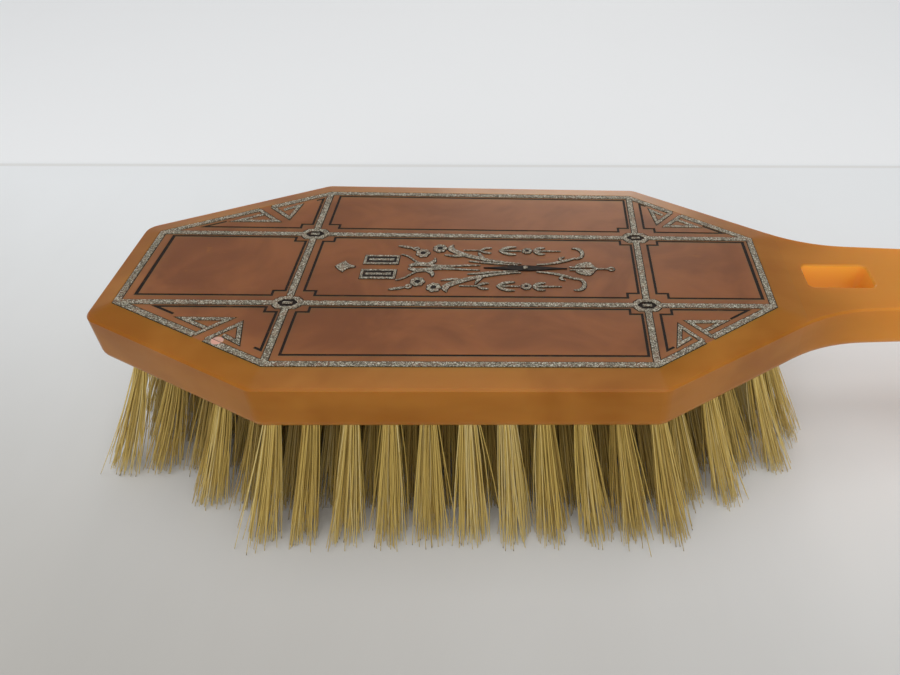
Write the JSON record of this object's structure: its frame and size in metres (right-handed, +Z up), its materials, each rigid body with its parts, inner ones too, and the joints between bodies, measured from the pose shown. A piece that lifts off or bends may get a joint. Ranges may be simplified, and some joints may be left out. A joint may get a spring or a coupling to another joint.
{
  "type": "vanity hairbrush",
  "caption": "Amber celluloid vanity hairbrush: stretched octagonal head with enamelled back, slotted flat handle and rows of pale natural bristle tufts.",
  "frame": {"origin": "on the plane of the bristle tips, under the middle of the head, at the middle tuft of the middle row", "axes": "+X from the head along the handle, +Y across the head, +Z up through the decorated back"},
  "size_m": [0.2358, 0.0706, 0.0364],
  "materials": {
    "amber_celluloid": "polished, softly mottled amber",
    "plate_celluloid": "satin",
    "glitter_enamel": "silver glitter enamel",
    "black_enamel": "gloss",
    "draw_wire": "drawn",
    "bristle": "pale natural bristle"
  },
  "bodies": {
    "root": {"brush_body": "amber_celluloid", "bristle_plate": "plate_celluloid", "silver_outline": "glitter_enamel", "silver_long_lines": "glitter_enamel", "silver_cross_lines": "glitter_enamel", "crossing_rings": "glitter_enamel", "crossing_bars": "glitter_enamel", "corner_scrolls": "glitter_enamel", "motif_spade": "glitter_enamel", "motif_bars": "glitter_enamel", "motif_rosettes": "glitter_enamel", "motif_scrolls": "glitter_enamel", "motif_sprays": "glitter_enamel", "motif_tendrils": "glitter_enamel", "motif_flares": "glitter_enamel", "motif_tulip": "glitter_enamel", "motif_spindle_bead": "glitter_enamel", "silver_edging": "black_enamel", "middle_frame": "black_enamel", "side_frames": "black_enamel", "end_frames": "black_enamel", "corner_frames": "black_enamel", "crossing_eyes": "black_enamel", "ornament_ground": "black_enamel", "motif_bar_fills": "black_enamel", "motif_rosette_eyes": "black_enamel", "motif_spindle": "black_enamel", "draw_wire_1": "draw_wire", "draw_wire_2": "draw_wire", "draw_wire_3": "draw_wire", "draw_wire_4": "draw_wire", "draw_wire_5": "draw_wire", "draw_wire_6": "draw_wire", "draw_wire_7": "draw_wire", "draw_wire_8": "draw_wire", "draw_wire_9": "draw_wire", "bristle_row_1": "bristle", "bristle_row_2": "bristle", "bristle_row_3": "bristle", "bristle_row_4": "bristle", "bristle_row_5": "bristle", "bristle_row_6": "bristle", "bristle_row_7": "bristle", "bristle_row_8": "bristle", "bristle_row_9": "bristle"}
  },
  "joints": []
}
